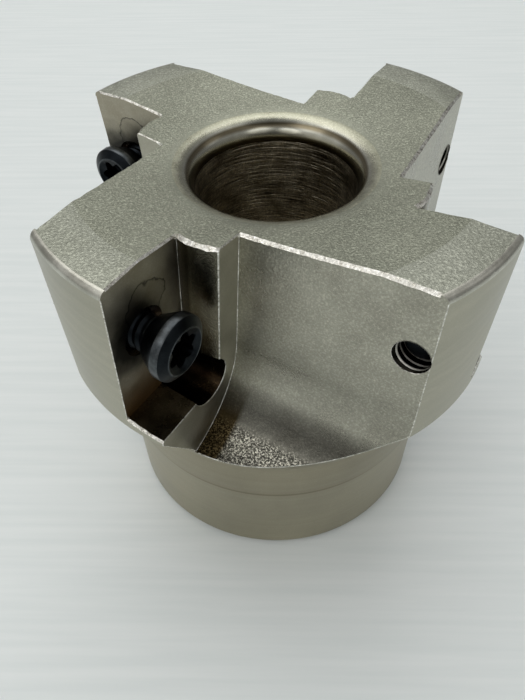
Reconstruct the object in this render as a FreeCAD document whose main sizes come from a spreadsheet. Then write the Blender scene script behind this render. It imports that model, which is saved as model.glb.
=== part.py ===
import FreeCAD, Part
import Sketcher
import os

# Indexable face mill for four inserts, with its four insert screws.
# It stands on the hub face that meets the arbor, with the cutting end up.
# Origin: centre of the hub face. +Z: cutter axis. +X: along the drive slot.
# A tooth is drawn in its own frame: "out" runs along the insert seat away from the cutter axis,
# "lead" is square to the seat and points the way the tooth turns, and "climb" runs up the seat.
# The rake leans that frame about "out", so every cut that is square to the seat leans with it.

doc = FreeCAD.newDocument("indexable_face_mill")

SIZES = [
    ("total_height", "40", "hub face to the crest of the cutting end"),
    ("head_diameter", "43.5", "steel of the head, inside the 45 mm cutting circle"),
    ("hub_diameter", "34.6", "ground lower part of the hub"),
    ("hub_ground_height", "11.3", "height of the ground part"),
    ("collar_diameter", "35", "turned part of the hub above it"),
    ("collar_blend", "0.4", "height of the blend between the two"),
    ("foot_chamfer", "0.8", "outer edge of the hub face"),
    ("rim_height", "23.7", "lower rim of the head"),
    ("flare_angle", "33", "flare under the head, from the axis"),
    ("flare_fillet", "3", "blend of the flare into the hub"),
    ("edge_chamfer", "0.5", "outer edge of the cutting end"),
    ("crest_diameter", "35.4", "highest ring of the cutting end"),
    ("rim_drop", "0.1", "fall of the cutting end from its crest to the outer edge"),
    ("dish_angle", "7", "fall of the cutting end from its crest to the bore"),
    ("counterbore_diameter", "14.6", "recess for the arbor screw's head"),
    ("counterbore_floor", "25", "height of the ledge that the head pulls on"),
    ("lip_round", "2.1", "polished round at the mouth of the recess"),
    ("arbor_screw_hole", "9", "clearance hole of the M8 arbor screw"),
    ("arbor_bore", "16", "bore that fits the arbor"),
    ("arbor_depth", "18", "depth of that bore"),
    ("mouth_chamfer", "1", "chamfer at the mouth of the arbor bore"),
    ("drive_slot_width", "8.4", "slot for the arbor's driving keys"),
    ("drive_slot_depth", "5.6", "depth of that slot"),
    ("seat_turn", "239", "direction of the first insert seat from the drive slot"),
    ("tooth_count", "4", "teeth round the head"),
    ("rake", "4", "lean of the insert seat"),
    ("seat_lead", "-0.7", "seat plane, ahead of the axis"),
    ("land_lead", "3.1", "gullet floor beside the seat, ahead of the axis"),
    ("gullet_wall", "10.5", "gullet's side wall at the land, from the axis"),
    ("gullet_turn", "2.2", "turn of the gullet's cut from square to the seat"),
    ("gullet_radius", "10", "sweep from the side wall to the gullet's foot"),
    ("gullet_straight", "13.4", "straight part of the side wall below the crest"),
    ("pocket_depth", "15.27", "crest to the seat's lower wall, down the seat"),
    ("pocket_flare", "5.6", "opening angle of the lower wall"),
    ("pocket_floor_out", "13.35", "side wall at the seat, from the axis"),
    ("pocket_belly_out", "13.72", "side wall where the insert bears on it"),
    ("pocket_belly_rise", "1.1", "height of that place over the seat"),
    ("pocket_mouth_out", "13.05", "side wall at the land"),
    ("undercut_rise", "0.6", "straight foot of that side wall, over the seat"),
    ("relief_diameter", "4.7", "corner relief between the pocket's two walls"),
    ("relief_out", "14.6", "relief centre from the axis"),
    ("relief_down", "14.9", "relief centre below the crest, down the seat"),
    ("relief_extra", "0.2", "relief floor below the seat"),
    ("screw_out", "18.05", "tapped hole's mouth from the axis"),
    ("screw_down", "7.15", "tapped hole's mouth below the crest, down the seat"),
    ("screw_lean", "2.6", "lean of the screw out of square with the seat, which draws the insert down"),
    ("thread_diameter", "4", "insert screw over its thread"),
    ("tapped_hole", "3.4", "hole over the crests of its thread"),
    ("thread_clearance", "0.05", "between the screw's core and those crests, all round"),
    ("hole_countersink", "0.55", "chamfer where the tapped hole meets the seat"),
    ("thread_pitch", "0.7", "travel of the screw for one turn"),
    ("home_clearance", "0.01", "between the foot of the screw's cone and the countersink when home"),
    ("turns_out_1", "2", "turns that the first screw stands out from home"),
    ("turns_out_2", "1", "the second"),
    ("turns_out_3", "1", "the third"),
    ("turns_out_4", "1.5", "the fourth"),
    ("screw_head_diameter", "5.75", "insert screw head"),
    ("screw_head_band", "0.87", "cylindrical part of the head"),
    ("screw_crown_height", "0.5", "cone over that band"),
    ("screw_crown_diameter", "4.2", "flat top of the head"),
    ("screw_cone_angle", "30", "underside of the head, from the screw's axis"),
    ("screw_shank", "7.7", "thread length under the head"),
    ("socket_core", "2.4", "star socket between its lobes"),
    ("socket_lobe", "0.76", "one lobe of the star socket"),
    ("socket_reach", "1.25", "lobe centre from the screw's axis"),
    ("socket_lobes", "6", "lobes of the star socket"),
    ("socket_depth", "2", "depth of the star socket"),
    ("slot_root", "0.5", "round in the root of the drive slot"),
    ("slot_break", "0.3", "broken edges of the drive slot"),
]

sizes = doc.addObject("Spreadsheet::Sheet", "sizes")
for row, (alias, text, meaning) in enumerate(SIZES, start=1):
    sizes.set(f"A{row}", meaning)
    sizes.set(f"B{row}", text)
    sizes.setAlias(f"B{row}", alias)
doc.recompute()

SKETCH_ORIGIN = (-1, 1)
HORIZONTAL_AXIS = -1
VERTICAL_AXIS = -2
START = 1
END = 2
NEAR = 0.01

# The head's tooth frame as a placement, for a plane that holds "out" and "climb".
# The XZ plane's own up is the cutter axis, and its normal points against "lead".
SEAT_PLANE = (
    "placement(vector(0; sizes.total_height; 0); rotation(vector(1; 0; 0); -sizes.rake))"
    " * placement(vector(0; 0; -({lead})); rotation(vector(0; 0; 1); 0))"
)


# The insert screw's frame in its tooth: its origin is the mouth of the tapped hole, and +Y leaves the seat.
SCREW_FRAME = (
    "placement(vector(0; 0; sizes.total_height); rotation(vector(1; 0; 0); -sizes.rake))"
    " * placement(vector(sizes.screw_out; sizes.seat_lead; -sizes.screw_down);"
    " rotation(vector(1; 0; 0); sizes.screw_lean))"
)


def measured(formula):
    """The number that a formula of the sheet's names has now."""
    value = sizes.evalExpression(formula)
    return float(getattr(value, "Value", value))


def origin_plane(body, role):
    return next(item for item in body.Origin.OriginFeatures if item.Role == role)


def new_sketch(body, name, role, offset=None):
    sketch = body.newObject("Sketcher::SketchObject", name)
    sketch.AttachmentSupport = (origin_plane(body, role), [""])
    sketch.MapMode = "FlatFace"
    if offset:
        sketch.setExpression("AttachmentOffset", offset)
    return sketch


def bind(sketch, constraint, formula):
    """Adds a constraint that carries a size, and ties it to its formula."""
    index = sketch.addConstraint(constraint)
    sketch.setExpression(f"Constraints[{index}]", formula)


def place_point(sketch, geometry, point, across, along):
    """Fixes one point of a sketch at two formulas, measured from the sketch's origin."""
    for kind, formula, axis in (("DistanceX", across, VERTICAL_AXIS), ("DistanceY", along, HORIZONTAL_AXIS)):
        if formula == "0":
            sketch.addConstraint(Sketcher.Constraint("PointOnObject", geometry, point, axis))
        else:
            value = measured(formula)
            bind(sketch, Sketcher.Constraint(kind, *SKETCH_ORIGIN, geometry, point, value), formula)


def arc_between(start, end, radius):
    """The smaller arc from start to end that turns to the left."""
    chord = end - start
    middle = start + chord * 0.5
    side = FreeCAD.Vector(-chord.y, chord.x, 0).normalize()
    depth = max(radius ** 2 - chord.Length ** 2 / 4, 0) ** 0.5
    centre = middle + side * depth
    first = FreeCAD.Vector(start - centre)
    last = FreeCAD.Vector(end - centre)
    circle = Part.Circle(centre, FreeCAD.Vector(0, 0, 1), radius)
    right = FreeCAD.Vector(1, 0, 0)
    up = FreeCAD.Vector(0, 0, 1)
    return Part.ArcOfCircle(circle, turn_of(right, first, up), turn_of(right, last, up))


def turn_of(base, direction, axis):
    """Angle from base to direction about axis, in radians."""
    angle = base.getAngle(direction)
    return angle if base.cross(direction).dot(axis) >= 0 else -angle


def outline(body, name, role, corners, offset=None, arcs=None):
    """A closed outline through corners given as pairs of formulas.

    arcs gives the radius formula of each side that is an arc turning left, by the index of the
    corner that it leaves.
    """
    arcs = arcs or {}
    sketch = new_sketch(body, name, role, offset)
    points = [FreeCAD.Vector(measured(across), measured(along), 0) for across, along in corners]
    for index, point in enumerate(points):
        following = points[(index + 1) % len(points)]
        if index in arcs:
            side = arc_between(point, following, measured(arcs[index]))
        else:
            side = Part.LineSegment(point, following)
        sketch.addGeometry(side, False)
    for index in range(len(points)):
        following = (index + 1) % len(points)
        sketch.addConstraint(Sketcher.Constraint("Coincident", index, END, following, START))
    for index, (across, along) in enumerate(corners):
        place_point(sketch, index, START, across, along)
    for index, radius in arcs.items():
        bind(sketch, Sketcher.Constraint("Radius", index, measured(radius)), radius)
    return sketch


def circle(body, name, role, across, along, radius, offset=None):
    """A circle whose centre and radius are formulas."""
    sketch = new_sketch(body, name, role, offset)
    centre = FreeCAD.Vector(measured(across), measured(along), 0)
    sketch.addGeometry(Part.Circle(centre, FreeCAD.Vector(0, 0, 1), measured(radius)), False)
    bind(sketch, Sketcher.Constraint("Radius", 0, measured(radius)), radius)
    place_point(sketch, 0, 3, across, along)
    return sketch


def revolve(body, name, sketch):
    turned = body.newObject("PartDesign::Revolution", name)
    turned.Profile = sketch
    turned.ReferenceAxis = (sketch, ["V_Axis"])
    turned.Angle = 360
    doc.recompute()
    return turned


def pocket(body, name, sketch, depth, direction=None, reverse=False):
    """Cuts a sketch away, and stops if the cut took nothing."""
    before = body.Shape.Volume
    cut = body.newObject("PartDesign::Pocket", name)
    cut.Profile = sketch
    cut.setExpression("Length", depth)
    cut.Reversed = reverse
    if direction:
        cut.UseCustomVector = True
        cut.AlongSketchNormal = False
        cut.setExpression("Direction", direction)
    doc.recompute()
    if before - body.Shape.Volume < NEAR:
        raise RuntimeError(f"{name} cuts nothing")
    return cut


def polar_pattern(body, name, features, count):
    pattern = body.newObject("PartDesign::PolarPattern", name)
    pattern.Originals = features
    pattern.Axis = (origin_plane(body, "Z_Axis"), [""])
    pattern.Angle = 360
    pattern.setExpression("Occurrences", count)
    body.Tip = pattern
    doc.recompute()
    return pattern


def dress(body, name, kind, edges, size):
    """A fillet or chamfer on the named edges of the body's last feature."""
    base = body.Tip
    feature = body.newObject(f"PartDesign::{kind}", name)
    feature.Base = (base, edges)
    feature.setExpression("Radius" if kind == "Fillet" else "Size", size)
    doc.recompute()
    return feature


def rings(shape, radius, height):
    """Names of the whole or part circles about the cutter axis at a radius and height."""
    found = []
    for index, edge in enumerate(shape.Edges, start=1):
        curve = edge.Curve
        if not isinstance(curve, Part.Circle):
            continue
        level = abs(curve.Center.z - height) < NEAR
        if level and abs(curve.Radius - radius) < NEAR and curve.Center.x ** 2 + curve.Center.y ** 2 < NEAR:
            found.append(f"Edge{index}")
    return found


def level_lines(shape, height):
    """Names of the straight edges that lie level at a height."""
    level = measured(height) if height != "0" else 0
    found = []
    for index, edge in enumerate(shape.Edges, start=1):
        heights = [vertex.Z for vertex in edge.Vertexes]
        if isinstance(edge.Curve, Part.Line) and all(abs(value - level) < NEAR for value in heights):
            found.append(f"Edge{index}")
    return found


def add_turned_blank(body):
    """The hub, flare and head with the bores through them, as one turned profile."""
    flare_foot = "(sizes.rim_height - (sizes.head_diameter - sizes.collar_diameter) / 2 / tan(sizes.flare_angle))"
    dish_fall = "(sizes.crest_diameter - sizes.counterbore_diameter) / 2 * tan(sizes.dish_angle)"
    mouth = f"(sizes.total_height - {dish_fall})"
    lip = "sizes.lip_round * tan((90 - sizes.dish_angle) / 2)"
    lip_start = (
        f"sizes.counterbore_diameter / 2 + {lip} * cos(sizes.dish_angle)",
        f"{mouth} + {lip} * sin(sizes.dish_angle)",
    )
    corners = [
        ("sizes.arbor_bore / 2 + sizes.mouth_chamfer", "0"),
        ("sizes.hub_diameter / 2 - sizes.foot_chamfer", "0"),
        ("sizes.hub_diameter / 2", "sizes.foot_chamfer"),
        ("sizes.hub_diameter / 2", "sizes.hub_ground_height"),
        ("sizes.collar_diameter / 2", "sizes.hub_ground_height + sizes.collar_blend"),
        ("sizes.collar_diameter / 2", flare_foot),
        ("sizes.head_diameter / 2", "sizes.rim_height"),
        ("sizes.head_diameter / 2", "sizes.total_height - sizes.rim_drop - sizes.edge_chamfer"),
        ("sizes.head_diameter / 2 - sizes.edge_chamfer", "sizes.total_height - sizes.rim_drop"),
        ("sizes.crest_diameter / 2", "sizes.total_height"),
        lip_start,
        ("sizes.counterbore_diameter / 2", f"{mouth} - {lip}"),
        ("sizes.counterbore_diameter / 2", "sizes.counterbore_floor"),
        ("sizes.arbor_screw_hole / 2", "sizes.counterbore_floor"),
        ("sizes.arbor_screw_hole / 2", "sizes.arbor_depth"),
        ("sizes.arbor_bore / 2", "sizes.arbor_depth"),
        ("sizes.arbor_bore / 2", "sizes.mouth_chamfer"),
    ]
    profile = outline(body, "blank_profile", "XZ_Plane", corners, arcs={corners.index(lip_start): "sizes.lip_round"})
    blank = revolve(body, "turned_blank", profile)
    foot = rings(blank.Shape, measured("sizes.collar_diameter / 2"), measured(flare_foot))
    dress(body, "flare_blend", "Fillet", foot, "sizes.flare_fillet")


def add_drive_slot(body):
    """The slot across the hub face that takes the arbor's two driving keys."""
    corners = [
        ("-sizes.hub_diameter", "-sizes.drive_slot_width / 2"),
        ("sizes.hub_diameter", "-sizes.drive_slot_width / 2"),
        ("sizes.hub_diameter", "sizes.drive_slot_width / 2"),
        ("-sizes.hub_diameter", "sizes.drive_slot_width / 2"),
    ]
    turn = "placement(vector(0; 0; 0); rotation(vector(0; 0; 1); -sizes.seat_turn))"
    sketch = outline(body, "drive_slot_outline", "XY_Plane", corners, turn)
    pocket(body, "drive_slot", sketch, "sizes.drive_slot_depth", reverse=True)
    dress(body, "slot_roots", "Fillet", level_lines(body.Shape, "sizes.drive_slot_depth"), "sizes.slot_root")
    dress(body, "slot_breaks", "Chamfer", level_lines(body.Shape, "0"), "sizes.slot_break")


def add_gullet(body):
    """The chip gullet: side wall, swept foot and the flat land beside the insert seat."""
    top = "sizes.edge_chamfer * 4"
    foot = "-sizes.gullet_straight - sizes.gullet_radius"
    corners = [
        ("sizes.gullet_wall", top),
        ("sizes.gullet_wall", "-sizes.gullet_straight"),
        ("sizes.gullet_wall + sizes.gullet_radius", foot),
        ("sizes.head_diameter", foot),
        ("sizes.head_diameter", top),
    ]
    plane = SEAT_PLANE.format(lead="sizes.land_lead")
    sketch = outline(body, "gullet_outline", "XZ_Plane", corners, plane, {1: "sizes.gullet_radius"})
    lead = "vector(-sin(sizes.gullet_turn); cos(sizes.gullet_turn) * cos(sizes.rake); -sin(sizes.rake))"
    return pocket(body, "gullet", sketch, "sizes.head_diameter / 2", lead)


def add_insert_pocket(body):
    """The insert's pocket, with a side wall that clears the insert's foot, and its lower wall."""
    lean = "(sizes.rake + sizes.pocket_flare)"
    plane = (
        "placement(vector(0; 0; sizes.total_height); rotation(vector(1; 0; 0); -sizes.rake))"
        " * placement(vector(0; 0; -sizes.pocket_depth); rotation(vector(1; 0; 0); -sizes.pocket_flare))"
    )
    across_flare = "cos(sizes.pocket_flare)"
    mouth = f"(sizes.land_lead + sizes.edge_chamfer) / {across_flare}"
    seat = f"sizes.seat_lead / {across_flare}"
    undercut = f"(sizes.seat_lead + sizes.undercut_rise) / {across_flare}"
    belly = f"(sizes.seat_lead + sizes.pocket_belly_rise) / {across_flare}"
    corners = [
        ("sizes.pocket_floor_out", seat),
        ("sizes.head_diameter", seat),
        ("sizes.head_diameter", mouth),
        ("sizes.pocket_mouth_out", mouth),
        ("sizes.pocket_belly_out", belly),
        ("sizes.pocket_floor_out", undercut),
    ]
    sketch = outline(body, "insert_pocket_outline", "XY_Plane", corners, plane)
    climb = "vector(0; sin(sizes.rake); cos(sizes.rake))"
    return pocket(body, "insert_pocket", sketch, "sizes.pocket_depth * 2", climb)


def add_corner_relief(body):
    """The round relief where the pocket's two walls meet, which clears the insert's corner."""
    plane = SEAT_PLANE.format(lead="sizes.seat_lead - sizes.relief_extra")
    centre = ("sizes.relief_out", "-sizes.relief_down")
    sketch = circle(body, "relief_outline", "XZ_Plane", *centre, "sizes.relief_diameter / 2", plane)
    depth = "sizes.land_lead - sizes.seat_lead + sizes.relief_extra + sizes.edge_chamfer"
    return pocket(body, "corner_relief", sketch, depth)


def add_screw_hole(body):
    """The tapped hole of the insert screw, open at the tooth's back, and its countersink."""
    across = f"{SCREW_FRAME} * placement(vector(0; {{depth}}; 0); rotation(vector(1; 0; 0); -90))"
    plane = across.format(depth="0")
    sketch = circle(body, "screw_hole_outline", "XY_Plane", "0", "0", "sizes.tapped_hole / 2", plane)
    hole = pocket(body, "screw_hole", sketch, "sizes.gullet_wall + sizes.thread_diameter")
    plane = across.format(depth="-sizes.hole_countersink")
    sketch = circle(body, "countersink_outline", "XY_Plane", "0", "0", "sizes.tapped_hole / 2", plane)
    before = body.Shape.Volume
    countersink = body.newObject("PartDesign::Pocket", "screw_countersink")
    countersink.Profile = sketch
    countersink.Reversed = True
    countersink.TaperAngle = 45
    countersink.setExpression("Length", "sizes.hole_countersink * 1.5")
    doc.recompute()
    if before - body.Shape.Volume < NEAR:
        raise RuntimeError("screw_countersink cuts nothing")
    return [hole, countersink]


def build_cutter_body():
    body = doc.addObject("PartDesign::Body", "cutter_body")
    add_turned_blank(body)
    add_drive_slot(body)
    features = [add_gullet(body), add_insert_pocket(body), add_corner_relief(body), *add_screw_hole(body)]
    polar_pattern(body, "teeth", features, "sizes.tooth_count")
    body.setExpression("Placement", "placement(vector(0; 0; 0); rotation(vector(0; 0; 1); sizes.seat_turn))")
    return body


def build_insert_screw(number):
    """One insert screw, drawn upright with the foot of its cone at its own origin."""
    body = doc.addObject("PartDesign::Body", f"insert_screw_{number}")
    cone = "((sizes.screw_head_diameter - sizes.thread_diameter) / 2 / tan(sizes.screw_cone_angle))"
    band = f"({cone} + sizes.screw_head_band)"
    face = f"({band} + sizes.screw_crown_height)"
    core = "(sizes.tapped_hole / 2 - sizes.thread_clearance)"
    corners = [
        ("0", "-sizes.screw_shank"),
        (core, "-sizes.screw_shank"),
        (core, "0"),
        ("sizes.thread_diameter / 2", "0"),
        ("sizes.screw_head_diameter / 2", cone),
        ("sizes.screw_head_diameter / 2", band),
        ("sizes.screw_crown_diameter / 2", face),
        ("0", face),
    ]
    revolve(body, f"screw_blank_{number}", outline(body, f"screw_profile_{number}", "XZ_Plane", corners))
    top = f"placement(vector(0; 0; {face}); rotation(vector(0; 0; 1); 0))"
    middle = circle(body, f"socket_core_outline_{number}", "XY_Plane", "0", "0", "sizes.socket_core / 2", top)
    pocket(body, f"socket_core_{number}", middle, "sizes.socket_depth")
    reach = ("sizes.socket_reach", "0")
    lobe = circle(body, f"socket_lobe_outline_{number}", "XY_Plane", *reach, "sizes.socket_lobe / 2", top)
    cut = pocket(body, f"socket_lobe_{number}", lobe, "sizes.socket_depth")
    polar_pattern(body, f"star_socket_{number}", [cut], "sizes.socket_lobes")
    home = "(sizes.hole_countersink - (sizes.thread_diameter - sizes.tapped_hole) / 2 - sizes.home_clearance)"
    body.setExpression("Placement", (
        "placement(vector(0; 0; 0); rotation(vector(0; 0; 1);"
        f" sizes.seat_turn + 360 / sizes.tooth_count * {number - 1})) * {SCREW_FRAME}"
        f" * placement(vector(0; sizes.turns_out_{number} * sizes.thread_pitch - {home}; 0);"
        " rotation(vector(1; 0; 0); -90))"
    ))
    doc.recompute()
    return body


def check(part):
    for item in doc.Objects:
        if "Invalid" in item.State or "Error" in item.State:
            raise RuntimeError(f"{item.Label} failed: {item.State}")
    if part.Shape.isNull() or not part.Shape.isValid():
        raise RuntimeError(f"{part.Label} has no valid shape")


parts = [build_cutter_body()]
for number in range(1, int(measured("sizes.tooth_count")) + 1):
    parts.append(build_insert_screw(number))
doc.recompute()
for part in parts:
    check(part)
os.makedirs("parts", exist_ok=True)
for part in parts:
    part.Shape.exportStep(f"parts/{part.Label}.step")
    print(part.Label, round(part.Shape.Volume, 2), part.Shape.BoundBox)
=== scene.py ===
import math
import bmesh
import bpy
from mathutils import Matrix, Vector, noise


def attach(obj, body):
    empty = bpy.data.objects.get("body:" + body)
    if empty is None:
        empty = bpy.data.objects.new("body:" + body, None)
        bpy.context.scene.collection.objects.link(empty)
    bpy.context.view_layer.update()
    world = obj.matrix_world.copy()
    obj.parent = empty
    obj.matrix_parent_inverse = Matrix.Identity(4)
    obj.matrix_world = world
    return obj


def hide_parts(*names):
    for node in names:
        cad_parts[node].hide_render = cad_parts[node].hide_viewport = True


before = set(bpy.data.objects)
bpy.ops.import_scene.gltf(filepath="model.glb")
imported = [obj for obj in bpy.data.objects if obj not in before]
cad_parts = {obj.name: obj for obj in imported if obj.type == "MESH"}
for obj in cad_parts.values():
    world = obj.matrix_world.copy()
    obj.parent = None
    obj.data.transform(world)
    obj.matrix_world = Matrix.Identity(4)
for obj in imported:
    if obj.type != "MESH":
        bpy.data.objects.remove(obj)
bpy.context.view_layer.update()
print("loaded the packed model:", ", ".join(sorted(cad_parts)))

mm = 0.001
# a wave texture of scale 1 repeats after this length
wavePeriod = 0.314


# Helpers for the shader graphs

def linearColour(hexCode):
    # sRGB hex to the linear values that the shaders take
    channels = [int(hexCode[i:i + 2], 16) / 255 for i in (1, 3, 5)]
    return [c / 12.92 if c <= 0.04045 else ((c + 0.055) / 1.055) ** 2.4 for c in channels] + [1.0]


def addNode(tree, kind, inputs=None, ramp=None, **settings):
    # one node with its settings, and its sockets linked or filled
    node = tree.nodes.new(kind)
    for name, value in settings.items():
        setattr(node, name, value)
    if ramp:
        stops = node.color_ramp.elements
        while len(stops) < len(ramp):
            stops.new(0.5)
        for stop, (place, colour) in zip(stops, ramp):
            stop.position = place
            stop.color = linearColour(colour) if isinstance(colour, str) else (colour, colour, colour, 1)
    for name, value in (inputs or {}).items():
        if isinstance(value, bpy.types.NodeSocket):
            tree.links.new(value, node.inputs[name])
        else:
            node.inputs[name].default_value = value
    return node


def multiplied(tree, colour, tone, share=1.0):
    # one colour darkened or tinted by another
    return addNode(tree, "ShaderNodeMix", {0: share, 6: colour, 7: tone}, data_type="RGBA",
                   blend_type="MULTIPLY").outputs[2]


def mixedColour(tree, share, first, second):
    return addNode(tree, "ShaderNodeMix", {0: share, 6: first, 7: second}, data_type="RGBA").outputs[2]


def ranged(tree, value, start, end, first=0.0, last=1.0, **settings):
    # a value moved from the range start to end into the range first to last
    return addNode(tree, "ShaderNodeMapRange", {"Value": value, "From Min": start, "From Max": end, "To Min": first,
                   "To Max": last}, **settings).outputs[0]


def steelFinish(name, look):
    # bare, plated or blackened steel: a cloudy tone, a fine grain that glitters, turned lines, and where asked oil and
    # painted light and shade
    material = bpy.data.materials.new(name)
    material.use_nodes = True
    tree = material.node_tree
    tree.nodes.clear()
    place = addNode(tree, "ShaderNodeTexCoord")
    inMm = addNode(tree, "ShaderNodeVectorMath", {0: place.outputs["Object"], 1: (1000, 1000, 1000)},
                   operation="MULTIPLY").outputs[0]
    cloud = addNode(tree, "ShaderNodeTexNoise", {"Vector": inMm, "Scale": 1 / look["cloudSize"], "Detail": 4.0,
                    "Roughness": 0.6}).outputs["Fac"]
    grain = addNode(tree, "ShaderNodeTexNoise", {"Vector": inMm, "Scale": 1 / look["grainSize"], "Detail": 3.0,
                    "Roughness": 0.75}).outputs["Fac"]
    clouded = addNode(tree, "ShaderNodeValToRGB", {"Fac": cloud},
                      ramp=[(0.3, look["dark"]), (0.7, look["light"])]).outputs["Color"]
    spark = addNode(tree, "ShaderNodeValToRGB", {"Fac": grain}, ramp=[(0.36, 1 - look["speckle"] * 0.5),
                    (0.52, 1.0), (0.7, 1 + look["speckle"] * 1.8)]).outputs["Color"]
    colour = multiplied(tree, clouded, spark)
    height = grain
    if look.get("polished"):
        # the grain fades out towards the axis between two radii
        innerRadius, outerRadius, polishedRough = look["polished"]
        flat = addNode(tree, "ShaderNodeVectorMath", {0: inMm, 1: (1, 1, 0)}, operation="MULTIPLY").outputs[0]
        radius = addNode(tree, "ShaderNodeVectorMath", {0: flat}, operation="LENGTH").outputs["Value"]
        smooth = ranged(tree, radius, innerRadius, outerRadius, interpolation_type="SMOOTHSTEP")
        colour = mixedColour(tree, smooth, clouded, colour)
        height = addNode(tree, "ShaderNodeMix", {0: smooth, 2: 0.5, 3: grain}).outputs[0]
    if look.get("turnedPitch"):
        wander = look["turnedWander"]
        drawn = addNode(tree, "ShaderNodeVectorMath", {0: inMm, 1: (wander, wander, 1 / look["turnedPitch"])},
                        operation="MULTIPLY").outputs[0]
        uneven = addNode(tree, "ShaderNodeTexNoise", {"Vector": drawn, "Scale": 1.0, "Detail": 4.0}).outputs["Fac"]
        lines = ranged(tree, uneven, 0.36, 0.64)
        height = addNode(tree, "ShaderNodeMix", {0: look["turnedDepth"], 2: grain, 3: lines}).outputs[0]
        colour = multiplied(tree, colour, ranged(tree, lines, 0.0, 1.0, 1 - look["turnedShade"], 1.0))
    if look.get("stainAndPaintedLight"):
        colour = look["stainAndPaintedLight"](tree, inMm, colour)
    rough = ranged(tree, cloud, 0.3, 0.7, look["rough"] - 0.06, look["rough"] + 0.06)
    if look.get("polished"):
        rough = addNode(tree, "ShaderNodeMix", {0: smooth, 2: polishedRough, 3: rough}).outputs[0]
    bump = addNode(tree, "ShaderNodeBump", {"Height": height, "Strength": look["bump"],
                   "Distance": look["grainSize"] * mm * 0.25}).outputs[0]
    surface = addNode(tree, "ShaderNodeBsdfPrincipled", {"Base Color": colour, "Metallic": 1.0, "Roughness": rough,
                      "Normal": bump})
    addNode(tree, "ShaderNodeOutputMaterial", {"Surface": surface.outputs[0]})
    return material


# The cutter body: a turned blank of nickelled steel, with its gullets, pockets and holes cut out

body = {
    "segments": 240,
    "height": 40.0, "headRadius": 21.75, "hubRadius": 17.3, "groundHeight": 11.3, "collarRadius": 17.5,
    "collarBlend": 0.4, "footChamfer": 0.8, "rimHeight": 23.7, "flareAngle": 33.0, "flareFillet": 3.0,
    "edgeRound": 0.6, "crestRadius": 17.7, "rimDrop": 0.1, "dishAngle": 7.0, "recessRadius": 7.3,
    "recessFloor": 25.0, "lipRound": 2.1, "screwHoleRadius": 4.5, "boreRadius": 8.0, "boreDepth": 18.0,
    "mouthChamfer": 1.0, "slotWidth": 8.4, "slotDepth": 5.6, "slotRoot": 0.5,
    "seatTurn": 239.0, "teeth": 4, "rake": 4.0, "seatLead": -0.7, "landLead": 3.1,
    "gulletWall": 10.5, "gulletTurn": 2.2, "gulletRadius": 10.0, "gulletStraight": 13.4,
    "pocketDepth": 15.27, "pocketFlare": 5.6, "pocketFloor": 13.35, "pocketBelly": (14.1, 0.9),
    "pocketMouth": 13.05,
    "reliefRadius": 2.35, "reliefOut": 14.6, "reliefDown": 14.9,
    "reliefExtra": 0.2, "screwOut": 18.05, "screwDown": 7.15, "screwLean": 2.6, "holeRadius": 1.7,
    "threadCrest": 1.5, "threadRoot": 1.7, "threadPitch": 0.7, "countersink": 0.55, "holeTurns": 21,
    "screwRoom": 0.12,
}

# how wide each kind of sharp edge is broken or worn, in millimetres, by the two finishes that meet there; in hollow
# corners, how wide the painted highlight line is
edgeWidths = {
    ("face", "wall"): 0.4, ("ring", "wall"): 0.4, ("face", "flute"): 0.34, ("ring", "flute"): 0.34,
    ("face", "land"): 0.12, ("face", "seat"): 0.22, ("ring", "seat"): 0.22, ("chamfer", "seat"): 0.1,
    ("chamfer", "flute"): 0.14, ("turned", "seat"): 0.09, ("turned", "flute"): 0.1, ("turned", "foot"): 0.28,
    ("turned", "land"): 0.1, ("land", "wall"): 0.13, ("land", "flute"): 0.06, ("seat", "wall"): 0.04,
    ("land", "relief"): 0.08, ("land", "foot"): 0.08,
}
# sharp rims that carry a thin bright burr instead
burrWidths = {("flute", "thread"): 0.06, ("flute", "threadCrest"): 0.06}
# millimetres and degrees: which edges count, where a run ends, how far runs stand apart, and the cutting bars
edgeRules = {"weld": 0.02, "leastAngle": 20, "shortest": 0.4, "bend": 20, "apart": 1.8, "barHeight": 0.6,
             "barMargin": 0.15, "barOverrun": 0.03}


def toothFrame(number):
    # row frame to tooth frame: x runs out along the seat, y leads square to it, z climbs along it
    turn = math.radians(body["seatTurn"] + 360 / body["teeth"] * number)
    lean = math.radians(-body["rake"])
    return (Matrix.Translation((0, 0, body["height"])) @ Matrix.Rotation(turn, 4, "Z")
            @ Matrix.Rotation(lean, 4, "X"))


def screwFrame(number):
    # z points out of the seat along the tapped hole, from the middle of its mouth
    mouth = Matrix.Translation((body["screwOut"], body["seatLead"], -body["screwDown"]))
    return (toothFrame(number) @ mouth @ Matrix.Rotation(math.radians(body["screwLean"]), 4, "X")
            @ Matrix.Rotation(math.radians(-90), 4, "X"))


def roundCorner(before, corner, after, radius, steps):
    # the points of the arc that rounds a corner of an outline
    toBefore = (Vector(before) - Vector(corner)).normalized()
    toAfter = (Vector(after) - Vector(corner)).normalized()
    half = toBefore.angle(toAfter) / 2
    middle = Vector(corner) + (toBefore + toAfter).normalized() * radius / math.sin(half)
    start = Vector(corner) + toBefore * radius / math.tan(half) - middle
    turn = start.angle_signed(Vector(corner) + toAfter * radius / math.tan(half) - middle)
    spin = [Matrix.Rotation(-turn * i / steps, 2) @ start for i in range(steps + 1)]
    return [tuple(middle + arm) for arm in spin]


def ringSurface(mesh, rings, slots, closed):
    # quads between rings of points, one material slot for each band
    count = len(rings[0])
    made = [[mesh.verts.new(p) for p in ring] for ring in rings]
    bands = len(made) if closed else len(made) - 1
    for i in range(bands):
        lower, upper = made[i], made[(i + 1) % len(made)]
        for j in range(count):
            k = (j + 1) % count
            face = mesh.faces.new((lower[j], lower[k], upper[k], upper[j]))
            face.material_index = slots[i]
            face.smooth = True
    return made


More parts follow.
